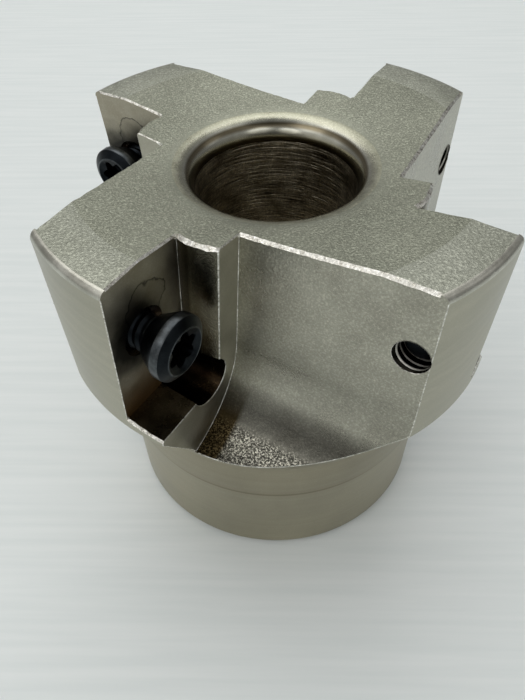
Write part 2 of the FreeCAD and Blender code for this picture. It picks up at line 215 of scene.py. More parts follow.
def meshObject(name, fill, materials):
    # an object from a function that fills a bmesh in millimetres
    mesh = bmesh.new()
    fill(mesh)
    bmesh.ops.recalc_face_normals(mesh, faces=mesh.faces)
    data = bpy.data.meshes.new(name)
    mesh.to_mesh(data)
    mesh.free()
    for material in materials:
        data.materials.append(material)
    made = bpy.data.objects.new(name, data)
    bpy.context.scene.collection.objects.link(made)
    return made


def prism(mesh, outline, sweep, slots):
    # an outline in space swept along a vector; the last slot is for its two ends
    low = [mesh.verts.new(p) for p in outline]
    high = [mesh.verts.new(p + sweep) for p in outline]
    for i in range(len(outline)):
        j = (i + 1) % len(outline)
        mesh.faces.new((low[i], low[j], high[j], high[i])).material_index = slots[i]
    mesh.faces.new(low[::-1]).material_index = slots[-1]
    mesh.faces.new(high).material_index = slots[-1]


def fillBlank(mesh):
    b = body
    flareFoot = b["rimHeight"] - (b["headRadius"] - b["collarRadius"]) / math.tan(math.radians(b["flareAngle"]))
    fall = (b["crestRadius"] - b["recessRadius"]) * math.tan(math.radians(b["dishAngle"]))
    face = b["height"] - b["rimDrop"]
    mouth = (b["recessRadius"], b["height"] - fall)
    crest = (b["crestRadius"], b["height"])
    rim = (b["headRadius"], b["rimHeight"])
    # radius, height and the finish of the band that starts there
    profile = [(b["boreRadius"] + b["mouthChamfer"], 0, "turned")]
    profile += [(b["hubRadius"] - b["footChamfer"], 0, "turned"), (b["hubRadius"], b["footChamfer"], "turned")]
    profile += [(b["hubRadius"], b["groundHeight"], "turned")]
    profile += [(b["collarRadius"], b["groundHeight"] + b["collarBlend"], "turned")]
    profile += [(*p, "turned") for p in roundCorner((b["collarRadius"], b["groundHeight"]),
                (b["collarRadius"], flareFoot), rim, b["flareFillet"], 8)]
    edge = roundCorner(rim, (b["headRadius"], face), (b["crestRadius"], face), b["edgeRound"], 6)
    profile += [(*rim, "turned")] + [(*p, "chamfer") for p in edge[:-1]] + [(*edge[-1], "ring"), (*crest, "face")]
    lip = roundCorner(crest, mouth, (b["recessRadius"], b["recessFloor"]), b["lipRound"], 12)
    profile += [(*p, "lip") for p in lip[:-1]] + [(*lip[-1], "recess")]
    profile += [(b["recessRadius"], b["recessFloor"], "recess"), (b["screwHoleRadius"], b["recessFloor"], "recess")]
    profile += [(b["screwHoleRadius"], b["boreDepth"], "bore"), (b["boreRadius"], b["boreDepth"], "bore")]
    profile += [(b["boreRadius"], b["mouthChamfer"], "bore")]
    rings = []
    for radius, height, finish in profile:
        rings.append([(radius * math.cos(a), radius * math.sin(a), height) for a in
                      (2 * math.pi * (i + 0.37) / b["segments"] for i in range(b["segments"]))])
    ringSurface(mesh, rings, [bodySlots.index(finish) for *place, finish in profile], True)


def fillGullets(mesh):
    b = body
    top, out = 3.0, 30.0
    foot = -b["gulletStraight"] - b["gulletRadius"]
    sweep = roundCorner((b["gulletWall"], top), (b["gulletWall"], foot), (out, foot), b["gulletRadius"], 28)
    outline = [(b["gulletWall"], top)] + sweep + [(out, foot), (out, top)]
    for number in range(b["teeth"]):
        tooth = toothFrame(number)
        turn, lean = math.radians(b["gulletTurn"]), math.radians(b["rake"])
        base = Matrix.Rotation(math.radians(b["seatTurn"] + 90 * number), 3, "Z")
        way = base @ Vector((-math.sin(turn), math.cos(turn) * math.cos(lean), -math.sin(lean))) * b["headRadius"]
        points = [tooth @ Vector((x, b["landLead"], z)) for x, z in outline]
        prism(mesh, points, way, [0] * len(points) + [1])


def fillPockets(mesh):
    b = body
    mouth, out, top = b["landLead"] + 0.5, 30.0, 3.0
    start, end = Vector((b["pocketMouth"], mouth)), Vector((b["pocketFloor"], b["seatLead"]))
    belly = Vector(b["pocketBelly"])
    curve = [start.lerp(belly, i / 12).lerp(belly.lerp(end, i / 12), i / 12) for i in range(13)]
    outline = [(out, b["seatLead"]), (out, mouth)] + [tuple(p) for p in curve]
    slope = math.tan(math.radians(b["pocketFlare"]))
    for number in range(b["teeth"]):
        tooth = toothFrame(number)
        low = [mesh.verts.new(tooth @ Vector((x, w, -b["pocketDepth"] - slope * w))) for x, w in outline]
        high = [mesh.verts.new(tooth @ Vector((x, w, top))) for x, w in outline]
        for i in range(len(outline)):
            j = (i + 1) % len(outline)
            face = mesh.faces.new((low[i], low[j], high[j], high[i]))
            face.material_index = 0 if i == len(outline) - 1 else 1
        mesh.faces.new(low[::-1]).material_index = 2
        mesh.faces.new(high).material_index = 1


def fillReliefs(mesh):
    b = body
    for number in range(b["teeth"]):
        tooth = toothFrame(number)
        outline = [tooth @ Vector((b["reliefOut"] + b["reliefRadius"] * math.cos(a), b["seatLead"] - b["reliefExtra"],
                   -b["reliefDown"] + b["reliefRadius"] * math.sin(a)))
                   for a in (2 * math.pi * (i + 0.3) / 40 for i in range(40))]
        lead = tooth.to_3x3() @ Vector((0, b["landLead"] - b["seatLead"] + b["reliefExtra"] + 0.5, 0))
        prism(mesh, outline, lead, [0] * 41)


def threadedRod(mesh, placed, firstTurn, turns, shape, trim, count=48):
    # a right-handed thread: each profile line winds up one pitch a turn; shape gives place, radius and slot
    pitch, lines = body["threadPitch"], []
    for step in range(turns * len(shape) + 1):
        share, radius, slot = shape[step % len(shape)]
        start = (firstTurn + step // len(shape) + share) * pitch
        line = []
        for i in range(count):
            along, wide, aside = trim(start + pitch * i / count, radius)
            angle = 2 * math.pi * i / count
            spot = Vector((wide * math.cos(angle) + aside, wide * math.sin(angle), along))
            line.append(mesh.verts.new(placed @ spot))
        lines.append((line, slot))
    turn, last = len(shape), len(lines) - 1
    for step in range(last):
        line, slot = lines[step]
        for i in range(count):
            if i < count - 1:
                corners = (line[i], line[i + 1], lines[step + 1][0][i + 1], lines[step + 1][0][i])
            elif step + turn < last:
                corners = (line[i], lines[step + turn][0][0], lines[step + turn + 1][0][0], lines[step + 1][0][i])
            else:
                continue
            face = mesh.faces.new(corners)
            face.material_index = slot
            face.smooth = True
    bottom = lines[0][0] + [lines[step][0][0] for step in range(turn, 0, -1)]
    top = lines[last][0][::-1] + [lines[step][0][-1] for step in range(last - turn, last)]
    for loop in (bottom, top):
        middle = mesh.verts.new(sum((v.co for v in loop), Vector()) / len(loop))
        for i in range(len(loop)):
            mesh.faces.new((loop[i], loop[(i + 1) % len(loop)], middle)).material_index = lines[0][1]


def fillScrewHoles(mesh):
    b = body
    crest, root = b["threadCrest"], b["threadRoot"]
    shape = [(-0.14, crest + 0.05, 1), (0.06, crest, 0), (0.42, root, 0), (0.58, root, 0)]

    def trimHole(along, radius):
        # a little wider along the screw, and its far end leans in, clear of the outer wall
        wide = along > (-6.5 if radius == root else -7.7)
        return min(along, -0.3), radius + b["screwRoom"] * wide, -0.32 * min(1, max(0, -7.6 - along) / 1.1)

    for number in range(b["teeth"]):
        threadedRod(mesh, screwFrame(number), -b["holeTurns"], b["holeTurns"] - 1, shape, trimHole)


def fillCountersinks(mesh):
    b = body
    wide = b["holeRadius"] + b["countersink"]
    angles = [2 * math.pi * (i + 0.5) / 48 for i in range(48)]
    for number in range(b["teeth"]):
        placed = screwFrame(number)
        rings = [[placed @ Vector((radius * math.cos(a), radius * math.sin(a), along)) for a in angles]
                 for along, radius in ((-0.95, wide - 0.56), (-0.55, wide - 0.56), (0.01, wide), (0.4, wide + 0.1))]
        made = ringSurface(mesh, rings, [0, 0, 0], False)
        mesh.faces.new(made[0])
        mesh.faces.new(made[-1][::-1])


def fillDriveSlot(mesh):
    b = body
    half, deep = b["slotWidth"] / 2, b["slotDepth"]
    root = roundCorner((half, 0), (half, deep), (0, deep), b["slotRoot"], 5)
    outline = [(half + 0.3, -0.3), (half + 0.3, 0), (half, 0.3)] + root
    outline += [(-y, z) for y, z in outline[::-1]]
    points = [Vector((-25, y, z)) for y, z in outline]
    prism(mesh, points, Vector((50, 0, 0)), [0] * (len(points) + 1))


def tonesRound(tree, place, centre, tones):
    # tones by the distance from one spot, over ten millimetres
    away = addNode(tree, "ShaderNodeVectorMath", {0: place, 1: centre}, operation="DISTANCE").outputs[1]
    share = addNode(tree, "ShaderNodeMath", {0: away, 1: 10.0}, operation="DIVIDE").outputs[0]
    return addNode(tree, "ShaderNodeValToRGB", {"Fac": share}, ramp=tones).outputs["Color"]


def oilStain(tree, inMm, colour):
    # dark oil that crept round the screw and dried with a tide mark; lower down, the seat turns browner
    place = addNode(tree, "ShaderNodeAttribute", attribute_name="toothPlace").outputs["Vector"]
    wobble = addNode(tree, "ShaderNodeTexNoise", {"Vector": inMm, "Scale": 0.45, "Detail": 4.0}).outputs["Color"]
    shifted = addNode(tree, "ShaderNodeVectorMath", {0: wobble, 1: (2.4, 2.4, 2.4), 2: place},
                      operation="MULTIPLY_ADD").outputs[0]
    tideMark = tonesRound(tree, shifted, (18.54, 0.5, -3.28), [(0.0, 0.72), (0.19, 0.85), (0.2, 0.8), (0.211, 0.2),
                          (0.222, 0.95), (1.0, 1.0)])
    wet = tonesRound(tree, shifted, (20.2, 0.5, -5.9), [(0.0, 0.03), (0.2, 0.06), (0.29, 0.3), (0.36, 0.75),
                     (0.46, 1.0)])
    colour = multiplied(tree, multiplied(tree, colour, tideMark), wet)
    height = addNode(tree, "ShaderNodeSeparateXYZ", {0: shifted}).outputs["Z"]
    low = ranged(tree, height, -8.0, -14.0, interpolation_type="SMOOTHSTEP")
    return multiplied(tree, colour, mixedColour(tree, low, linearColour("#ffffff"), linearColour("#c8a47c")))


def shadeAlong(tree, inMm, colour, way, low, high, stops):
    # multiplies the colour by tones that follow one axis, from low to high millimetres
    place = addNode(tree, "ShaderNodeSeparateXYZ", {0: inMm}).outputs[way]
    tone = addNode(tree, "ShaderNodeValToRGB", {"Fac": ranged(tree, place, low, high)},
                   ramp=[((at - low) / (high - low), hexCode) for at, hexCode in stops]).outputs["Color"]
    return multiplied(tree, colour, tone)


def wallPaintedCornerShade(tree, inMm, colour):
    # painted shade: the side wall is darker in its corner next to the seat
    place = addNode(tree, "ShaderNodeAttribute", attribute_name="toothPlace").outputs["Vector"]
    return shadeAlong(tree, place, colour, "Y", -1.0, 3.0, [(-0.7, "#8c8270"), (0.35, "#8c8270"), (0.7, "#ffffff")])


def hubSwirlsAndPaintedShade(tree, inMm, colour):
    # faint handling swirls on the head; the hub is a little browner, with painted shade: dark at its foot, a dark line
    # at the small step where its grinding ends, and a little darker under the head's flare
    swirl = addNode(tree, "ShaderNodeTexWave", {"Vector": inMm, "Scale": wavePeriod / 1.3, "Distortion": 9.0,
                    "Detail": 2.0, "Detail Scale": 0.6}, wave_type="RINGS", rings_direction="SPHERICAL").outputs["Fac"]
    height = addNode(tree, "ShaderNodeSeparateXYZ", {0: inMm}).outputs["Z"]
    colour = multiplied(tree, colour, ranged(tree, swirl, 0.6, 1.0, 0.97, 1.015), ranged(tree, height, 26.0, 30.0))
    # painted shade along the hub's height
    return shadeAlong(tree, inMm, colour, "Z", 0.0, 24.0, [(0.0, "#8a8678"), (0.5, "#f2ebdc"), (11.0, "#f0eadf"),
                      (11.3, "#b8ad98"), (11.9, "#e6dfd2"), (18.0, "#e6dfd2"), (21.0, "#f4f0e8"), (23.6, "#f8f6f0")])


def lipPaintedReflections(tree, inMm, colour):
    # painted reflections: where the lip leaves the face its colour matches the face, then come a bright band, a dark
    # brown band, a second bright band and a dark edge above the bore
    return shadeAlong(tree, inMm, colour, "Z", 36.6, 39.2, [(36.6, "#8a8068"), (37.2, "#8a7f69"), (37.55, "#f0ece0"),
                      (38.0, "#ffffff"), (38.2, "#b0a696"), (38.4, "#968c7b"), (38.55, "#ffffff"), (38.7, "#f2f2ea"),
                      (38.95, "#dbdcd0")])


def fluteMarksAndPaintedReflections(tree, inMm, colour):
    # painted reflections on the gullet: a dark band across the bend of its sweep, and bright glinting specks on the
    # floor at its foot; a strip at one side of the foot is browner, and curved mill marks cross the foot
    place = addNode(tree, "ShaderNodeAttribute", attribute_name="toothPlace").outputs["Vector"]
    part = addNode(tree, "ShaderNodeSeparateXYZ", {0: place}).outputs
    # painted reflection: darkest across the bend, lighter above and below it
    sweep = addNode(tree, "ShaderNodeValToRGB", {"Fac": ranged(tree, part["Z"], -24.0, 0.0)},
                    ramp=[(0.0, 0.8), (0.11, 0.8), (0.145, 0.3), (0.19, 0.26), (0.24, 0.5), (0.29, 0.95),
                          (0.36, 0.85), (0.7, 1.0)]).outputs["Color"]
    left, foot = ranged(tree, part["Y"], 5.6, 5.1), ranged(tree, part["Z"], -17.5, -20.5)
    corner = addNode(tree, "ShaderNodeMath", {0: left, 1: foot}, operation="MULTIPLY").outputs[0]
    brown = mixedColour(tree, corner, linearColour("#ffffff"), linearColour("#8f7f62"))
    colour = multiplied(tree, multiplied(tree, colour, sweep), brown)
    grit = addNode(tree, "ShaderNodeTexNoise", {"Vector": inMm, "Scale": 1 / 0.18, "Detail": 3.0,
                   "Roughness": 0.8}).outputs["Fac"]
    # painted glints: darker grit with bright specks, only on the floor at the foot
    paintedGlints = addNode(tree, "ShaderNodeValToRGB", {"Fac": grit},
                      ramp=[(0.42, 0.12), (0.52, 0.4), (0.6, 1.9)]).outputs["Color"]
    patch = ranged(tree, part["Z"], -20.6, -21.2)
    colour = mixedColour(tree, patch, colour, multiplied(tree, colour, paintedGlints))
    marks = addNode(tree, "ShaderNodeTexWave", {"Vector": place, "Scale": wavePeriod / 1.1, "Distortion": 0.8,
                    "Detail": 2.0}, wave_type="RINGS", rings_direction="Z").outputs["Fac"]
    cut = addNode(tree, "ShaderNodeMath", {0: ranged(tree, part["Z"], -19.0, -23.0), 1: 0.35},
                  operation="MULTIPLY").outputs[0]
    return multiplied(tree, colour, marks, cut)


finishes = {
    # nickel plate over fine turning: satin, slightly yellow-green, faint lines round the hub
    "turned": steelFinish("nickelOverTurnedSteel", {"dark": "#a4a295", "light": "#b8b6a9", "cloudSize": 9.0,
        "grainSize": 0.14, "speckle": 0.05, "rough": 0.36, "bump": 0.12, "turnedPitch": 0.35, "turnedDepth": 0.5,
        "turnedShade": 0.05, "turnedWander": 0.03, "stainAndPaintedLight": hubSwirlsAndPaintedShade}),
    # a worn rim, paler and scuffed where the plate has rubbed thin
    "chamfer": steelFinish("nickelWornChamfer", {"dark": "#9f9d91", "light": "#cfcec3", "cloudSize": 3.0,
        "grainSize": 0.14, "speckle": 0.1, "rough": 0.34, "bump": 0.15}),
    # face turned and plated, with a coarse glittering grain outside the crest line
    "ring": steelFinish("nickelCoarseGrainRing", {"dark": "#959789", "light": "#a6a89b", "cloudSize": 6.0,
        "grainSize": 0.2, "speckle": 0.42, "rough": 0.4, "bump": 1.0}),
    # the same plate inside the crest line, finer and darker, and smoother towards the lip
    "face": steelFinish("nickelGrainyFace", {"dark": "#8b8d7e", "light": "#989a8b", "cloudSize": 8.0,
        "grainSize": 0.18, "speckle": 0.5, "rough": 0.4, "bump": 1.3, "polished": (8.2, 10.6, 0.26)}),
    # polished, so it mirrors the room in bright and dark bands; the same bands are also painted into its colour
    "lip": steelFinish("nickelPolishedLip", {"dark": "#a2a194", "light": "#bbbaae", "cloudSize": 1.8,
        "grainSize": 0.16, "speckle": 0.3, "rough": 0.32, "bump": 0.6, "polished": (7.6, 9.3, 0.19),
        "stainAndPaintedLight": lipPaintedReflections}),
    # bored and left oily: brown, with ragged tool lines that catch the light
    "recess": steelFinish("oiledTurnedBore", {"dark": "#7d7462", "light": "#d9d0ba", "cloudSize": 2.5,
        "grainSize": 0.2, "speckle": 0.5, "rough": 0.34, "bump": 1.0, "turnedPitch": 0.2, "turnedDepth": 0.8,
        "turnedShade": 0.6, "turnedWander": 0.3}),
    # ground for the arbor: pale, with fine even lines
    "bore": steelFinish("groundArborBore", {"dark": "#8f8c80", "light": "#a8a598", "cloudSize": 6.0,
        "grainSize": 0.1, "speckle": 0.05, "rough": 0.28, "bump": 0.1, "turnedPitch": 0.3, "turnedDepth": 0.5,
        "turnedShade": 0.1, "turnedWander": 0.05}),
    # end-milled and plated: satin, with a soft orange-peel grain
    "flute": steelFinish("nickelMilledGullet", {"dark": "#9c998c", "light": "#b6b4a6", "cloudSize": 5.0,
        "grainSize": 0.2, "speckle": 0.26, "rough": 0.3, "bump": 0.7, "stainAndPaintedLight": fluteMarksAndPaintedReflections}),
    # a narrow milled strip beside the pocket, duller than the gullet
    "land": steelFinish("nickelMilledLand", {"dark": "#a09c8d", "light": "#b8b5a7", "cloudSize": 4.0,
        "grainSize": 0.14, "speckle": 0.08, "rough": 0.4, "bump": 0.2}),
    # milled flat: dull, with a wet black patch, a tide mark, and browner lower down
    "seat": steelFinish("oilyMilledSeat", {"dark": "#9c9583", "light": "#b3ad9c", "cloudSize": 3.0,
        "grainSize": 0.14, "speckle": 0.1, "rough": 0.42, "bump": 0.2, "stainAndPaintedLight": oilStain}),
    # side-milled and oiled, so it mirrors the black screw
    "wall": steelFinish("oiledPocketWall", {"dark": "#6d6858", "light": "#8a8676", "cloudSize": 3.0,
        "grainSize": 0.16, "speckle": 0.45, "rough": 0.22, "bump": 0.6, "stainAndPaintedLight": wallPaintedCornerShade}),
    # milled and oily, and painted dark brown for the shadow at the bottom of the pocket
    "foot": steelFinish("oiledPocketFootPaintedShadow", {"dark": "#3e3729", "light": "#665d4b", "cloudSize": 2.0,
        "grainSize": 0.16, "speckle": 0.2, "rough": 0.28, "bump": 0.2}),
    # drilled and oily; its nearly black colour is painted shade deep in the groove and in the countersinks under the
    # screw heads, with small brown glints
    "relief": steelFinish("oiledDrilledReliefPaintedShade", {"dark": "#2a2119", "light": "#4a3d2c", "cloudSize": 1.6,
        "grainSize": 0.2, "speckle": 0.3, "rough": 0.24, "bump": 0.3}),
    # tapped and oily; its black colour is painted shade deep in the hole, with dull glints
    "thread": steelFinish("oilyTappedThreadPaintedShade", {"dark": "#100f0c", "light": "#26241f", "cloudSize": 1.0,
        "grainSize": 0.12, "speckle": 0.1, "rough": 0.3, "bump": 0.1}),
    # thread crests rubbed bright by the screw, a few thin arcs in the dark hole
    "threadCrest": steelFinish("rubbedThreadCrest", {"dark": "#c9c6bc", "light": "#f4f2ea", "cloudSize": 0.8,
        "grainSize": 0.12, "speckle": 0.1, "rough": 0.5, "bump": 0.05}),
    # milled across the hub: even satin
    "slot": steelFinish("nickelMilledSlot", {"dark": "#a5a293", "light": "#bdbbad", "cloudSize": 6.0,
        "grainSize": 0.16, "speckle": 0.1, "rough": 0.4, "bump": 0.25}),
    # plate knocked and worn through: small bright broken facets along the edges; the same bright finish paints
    # highlight lines into hollow corners
    "edge": steelFinish("brightWornEdge", {"dark": "#a09d91", "light": "#f4f2ea", "cloudSize": 0.45,
        "grainSize": 0.2, "speckle": 0.4, "rough": 0.3, "bump": 0.8}),
}
bodySlots = list(finishes)


def evaluatedMesh(made):
    # a new mesh with the object's modifiers applied
    graph = bpy.context.evaluated_depsgraph_get()
    return bpy.data.meshes.new_from_object(made.evaluated_get(graph), preserve_all_data_layers=True,
                                           depsgraph=graph)


def cutAway(blank, name, fill, names):
    # takes the filled shape off the blank; a result that lost most of its faces is thrown away
    cutter = meshObject(name, fill, [finishes[n] for n in names])
    difference = blank.modifiers.new(name, "BOOLEAN")
    difference.operation = "DIFFERENCE"
    difference.solver = "EXACT"
    difference.material_mode = "TRANSFER"
    difference.object = cutter
    result = evaluatedMesh(blank)
    blank.modifiers.remove(difference)
    bpy.data.objects.remove(cutter)
    whole = len(result.polygons) > len(blank.data.polygons) / 2
    if whole:
        blank.data, result = result, blank.data
    bpy.data.meshes.remove(result)
    print("cut" if whole else "left uncut", name, len(blank.data.polygons), "faces")


def edgeRuns(mesh):
    # the edges that meet edgeWidths, chained end to end, as (width, [(point, normal, normal)], hollow)
    slotOf = [next(slot for slot, material in finishes.items() if material == used) for used in mesh.materials]
    work = bmesh.new()
    work.from_mesh(mesh)
    bmesh.ops.remove_doubles(work, verts=work.verts, dist=edgeRules["weld"])
    kinds = {}
    for edge in work.edges:
        if len(edge.link_faces) != 2 or math.degrees(edge.calc_face_angle(0)) < edgeRules["leastAngle"]:
            continue
        first, second = sorted(edge.link_faces, key=lambda face: slotOf[face.material_index])
        pair = (slotOf[first.material_index], slotOf[second.material_index])
        width = edgeWidths.get(pair) or edgeWidths.get(pair[::-1])
        burr = burrWidths.get(pair) or burrWidths.get(pair[::-1])
        if not width and not burr:
            continue
        hollow = bool(burr) or edge.calc_face_angle_signed(0) < 0
        width = width or burr
        kinds.setdefault((width, hollow), {})[edge] = (first.normal.copy(), second.normal.copy())
    runs = []
    for (width, hollow), edges in kinds.items():
        left = dict(edges)
        touching = {}
        for edge in edges:
            for vert in edge.verts:
                touching.setdefault(vert, []).append(edge)
        ends = [v for v, near in touching.items() if len(near) != 2] + list(touching)
        for vert in ends:
            edge = next((e for e in touching[vert] if e in left), None)
            if edge is None:
                continue
            points = [(vert.co.copy(), *left[edge])]
            while edge is not None:
                sides = left.pop(edge)
                vert = edge.other_vert(vert)
                if (vert.co - points[-1][0]).length > 0.3 or not any(e in left for e in touching[vert]):
                    points.append((vert.co.copy(), *sides))
                edge = next((e for e in touching[vert] if e in left), None)
            if (points[-1][0] - points[0][0]).length > 0.2 or len(points) > 3:
                runs += [(width, fineRun(smooth), hollow) for smooth in splitBends(points)
                         if (smooth[-1][0] - smooth[0][0]).length > edgeRules["shortest"]]
    work.free()
    return runs


def splitBends(points):
    # a chain of edges parted where it turns sharply
    smooth = [[points[0]]]
    for i, point in enumerate(points[1:-1], 1):
        smooth[-1].append(point)
        if (point[0] - points[i - 1][0]).angle(points[i + 1][0] - point[0]) > math.radians(edgeRules["bend"]):
            smooth.append([(point[0], *points[i + 1][1:])])
    smooth[-1].append(points[-1])
    return smooth


def fineRun(points):
    # the same run with a point at least every millimetre
    fine = points[:1]
    for (start, *sides), (end, *others) in zip(points, points[1:]):
        count = math.ceil((end - start).length)
        for i in range(1, count + 1):
            fine.append((start.lerp(end, i / count), *(others if i == count else sides)))
    return fine


def apart(first, second):
    return all((p[0] - q[0]).length > edgeRules["apart"] for p in first for q in second)


def edgeSections(width, points):
    # point, way across the edge, way out of it and worn width, all along one run
    sections = []
    for i, (point, first, second) in enumerate(points):
        along = (points[min(i + 1, len(points) - 1)][0] - points[max(i - 1, 0)][0]).normalized()
        out = (first + second).normalized()
        across = along.cross(out).normalized()
        ragged = width * (1 + 0.3 * noise.noise(point * 1.7) + 0.25 * noise.noise(point * 5.3))
        sections.append((point, across, out, ragged, first.angle(second)))
    return sections


def fillBrokenEdges(mesh, runs):
    # a thin bar along every raised edge takes its corner off
    for width, points, hollow in runs:
        rings = []
        for point, across, out, wide, bend in edgeSections(width, points):
            base = point - out * wide / 2 * math.tan(bend / 2)
            reach = wide / 2 + edgeRules["barMargin"]
            low, high = base - across * reach, base + across * reach
            rings.append([low, high, high + out * edgeRules["barHeight"], low + out * edgeRules["barHeight"]])
        for tip, inner in ((-1, -2), (0, 1)):
            along = (rings[tip][0] - rings[inner][0]).normalized() * edgeRules["barOverrun"]
            rings[tip] = [p + along for p in rings[tip]]
        made = ringSurface(mesh, rings, [0] * len(rings), False)
        mesh.faces.new(made[0])
        mesh.faces.new(made[-1][::-1])


def fillCornerLines(mesh, runs):
    # a narrow strip of bright plate stands on every burred rim, and bridges every hollow corner as a painted highlight
    # line
    for width, points, hollow in runs:
        if not hollow:
            continue
        strips = []
        for point, across, out, wide, bend in edgeSections(width, points):
            lift = point + out * (wide / 2 * math.tan(bend / 2) + 0.004)
            strips.append([mesh.verts.new(lift - across * wide / 2), mesh.verts.new(lift + across * wide / 2)])
        for low, high in zip(strips, strips[1:]):
            mesh.faces.new((low[0], low[1], high[1], high[0]))


cutterBody = meshObject("millBody", fillBlank, list(finishes.values()))
cutAway(cutterBody, "gullets", fillGullets, ["flute", "land"])
cutAway(cutterBody, "pockets", fillPockets, ["seat", "wall", "foot"])
cutAway(cutterBody, "reliefs", fillReliefs, ["relief"])
cutAway(cutterBody, "screwHoles", fillScrewHoles, ["thread", "threadCrest"])
cutAway(cutterBody, "countersinks", fillCountersinks, ["relief"])
cutAway(cutterBody, "driveSlot", fillDriveSlot, ["slot"])
runs = edgeRuns(cutterBody.data)
# bars that touch each other are cut in separate steps
groups = []
for run in runs:
    if not run[2]:
        group = next((g for g in groups if all(apart(run[1], other[1]) for other in g)), None)
        if group is None:
            groups.append([run])
        else:
            group.append(run)
print(len(runs), "runs of edges in", len(groups), "groups")
for step, group in enumerate(groups):
    cutAway(cutterBody, f"brokenEdges{step + 1}", lambda mesh: fillBrokenEdges(mesh, group), ["edge"])
cornerHighlightsAndBurrs = meshObject("cornerHighlightsAndBurrs", lambda mesh: fillCornerLines(mesh, runs), [finishes["edge"]])


def settle(made):
    # applies the modifiers, turns millimetres to metres and evens the shading by face area
    result = evaluatedMesh(made)
    made.modifiers.clear()
    old = made.data
    made.data = result
    bpy.data.meshes.remove(old)
    result.transform(Matrix.Scale(mm, 4))
    result.shade_smooth()
    result.set_sharp_from_angle(angle=math.radians(32))
    even = made.modifiers.new("evenShading", "WEIGHTED_NORMAL")
    even.keep_sharp = True
    print(made.name, len(result.polygons), "faces")


def writeToothPlace(made):
    # each corner's place in the frame of its own tooth, in millimetres, for the oil patch and tide mark, the painted
    # shade and reflections, and the mill marks
    layer = made.data.attributes.new("toothPlace", "FLOAT_VECTOR", "CORNER")
    inward = [toothFrame(number).inverted() for number in range(body["teeth"])]
    values = []
    for face in made.data.polygons:
        middle = face.center / mm
        best = next((m for m in inward if (m @ middle).x > 9.5 and (m @ middle).y > -1.3), inward[0])
        for corner in face.vertices:
            values += list(best @ (made.data.vertices[corner].co / mm))
    layer.data.foreach_set("vector", values)


settle(cutterBody)
writeToothPlace(cutterBody)
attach(cutterBody, "cutter_body")
cornerHighlightsAndBurrs.data.transform(Matrix.Scale(mm, 4))
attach(cornerHighlightsAndBurrs, "cutter_body")
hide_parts("cutter_body")


# The four insert screws, black-oxide steel with a star socket

screw = {
    "segments": 96, "headRadius": 2.875, "bandHeight": 0.87, "coneAngle": 30.0, "rimRound": 0.1,
    "crownHeight": 0.5, "crownRadius": 2.1, "leadIn": 0.2,
    "neckRadius": 2.0, "shank": 7.7, "crestRadius": 1.6, "rootRadius": 1.4, "endChamfer": 0.4,
    "socketInner": 1.2, "socketOuter": 1.66, "socketDepth": 2.0, "turnsOut": [2, 1, 1, 1.5],
    "home": 0.24, "socketTurn": [12, 40, 25, 5],
}
# black oxide on hardened steel: nearly black with a cold satin sheen, grey where it has rubbed
blackOxide = steelFinish("blackOxideSteel", {"dark": "#15181b", "light": "#24282b", "cloudSize": 1.5,
    "grainSize": 0.12, "speckle": 0.12, "rough": 0.38, "bump": 0.15})
rubbedOxide = steelFinish("rubbedOxideRim", {"dark": "#34383a", "light": "#5a5e60", "cloudSize": 0.7,
    "grainSize": 0.12, "speckle": 0.15, "rough": 0.34, "bump": 0.15})


def fillScrew(mesh, number):
    s = screw
    out = s["turnsOut"][number] * body["threadPitch"] - s["home"]
    placed = screwFrame(number) @ Matrix.Translation((0, 0, out))
    cone = (s["headRadius"] - s["neckRadius"]) / math.tan(math.radians(s["coneAngle"]))
    band = cone + s["bandHeight"]
    face = band + s["crownHeight"]
    count = s["segments"]
    angles = [2 * math.pi * i / count for i in range(count)]

    def star(angle):
        lobe = 0.5 + 0.5 * math.cos(6 * (angle - math.radians(s["socketTurn"][number])))
        return s["socketInner"] + (s["socketOuter"] - s["socketInner"]) * lobe ** 0.75

    # height and radius of each ring, from the socket's floor over the head and down the shank
    rim, deep = s["rimRound"], face - s["socketDepth"]
    bands = [(deep - 0.25, lambda a: 0.3, 0), (deep, lambda a: star(a) * 0.95, 0),
             (deep + 0.06, star, 0), (face - s["leadIn"] - 0.1, star, 0),
             (face - s["leadIn"], lambda a: s["socketOuter"] + 0.04, 0),
             (face - 0.03, lambda a: s["crownRadius"] - 0.1, 1), (face, lambda a: s["crownRadius"] - 0.05, 1),
             (face - 0.04, lambda a: s["crownRadius"] + 0.05, 0), (band + 0.04, lambda a: s["headRadius"] - rim, 0),
             (band - 0.02, lambda a: s["headRadius"] - rim * 0.3, 1), (band - rim, lambda a: s["headRadius"], 1),
             (cone + 0.1, lambda a: s["headRadius"], 0), (cone - 0.05, lambda a: s["headRadius"] - 0.06, 0),
             (0.1, lambda a: s["neckRadius"] + 0.03, 0), (-0.05, lambda a: s["neckRadius"] - 0.15, 0),
             (-0.35, lambda a: s["rootRadius"] - 0.05, 0)]
    rings = [[placed @ Vector((r(a) * math.cos(a), r(a) * math.sin(a), z)) for a in angles] for z, r, slot in bands]
    made = ringSurface(mesh, rings, [slot for z, r, slot in bands], False)
    mesh.faces.new(made[0])
    mesh.faces.new(made[-1][::-1])
    end = out - s["shank"]
    firstTurn = math.floor(end / body["threadPitch"]) - 1
    root, crest = s["rootRadius"], s["crestRadius"]
    shape = [(-0.12, root, 0), (0.12, root, 0), (0.44, crest, 1), (0.56, crest, 0)]

    def trimEnd(along, radius):
        along = min(max(along, end), out - 0.15)
        return along, min(radius, crest - max(0, s["endChamfer"] - (along - end))), 0

    turns = math.ceil(s["shank"] / body["threadPitch"]) + 1
    threadedRod(mesh, screwFrame(number), firstTurn, turns, shape, trimEnd)
    bmesh.ops.remove_doubles(mesh, verts=mesh.verts, dist=0.002)
    bmesh.ops.dissolve_degenerate(mesh, edges=mesh.edges, dist=0.002)


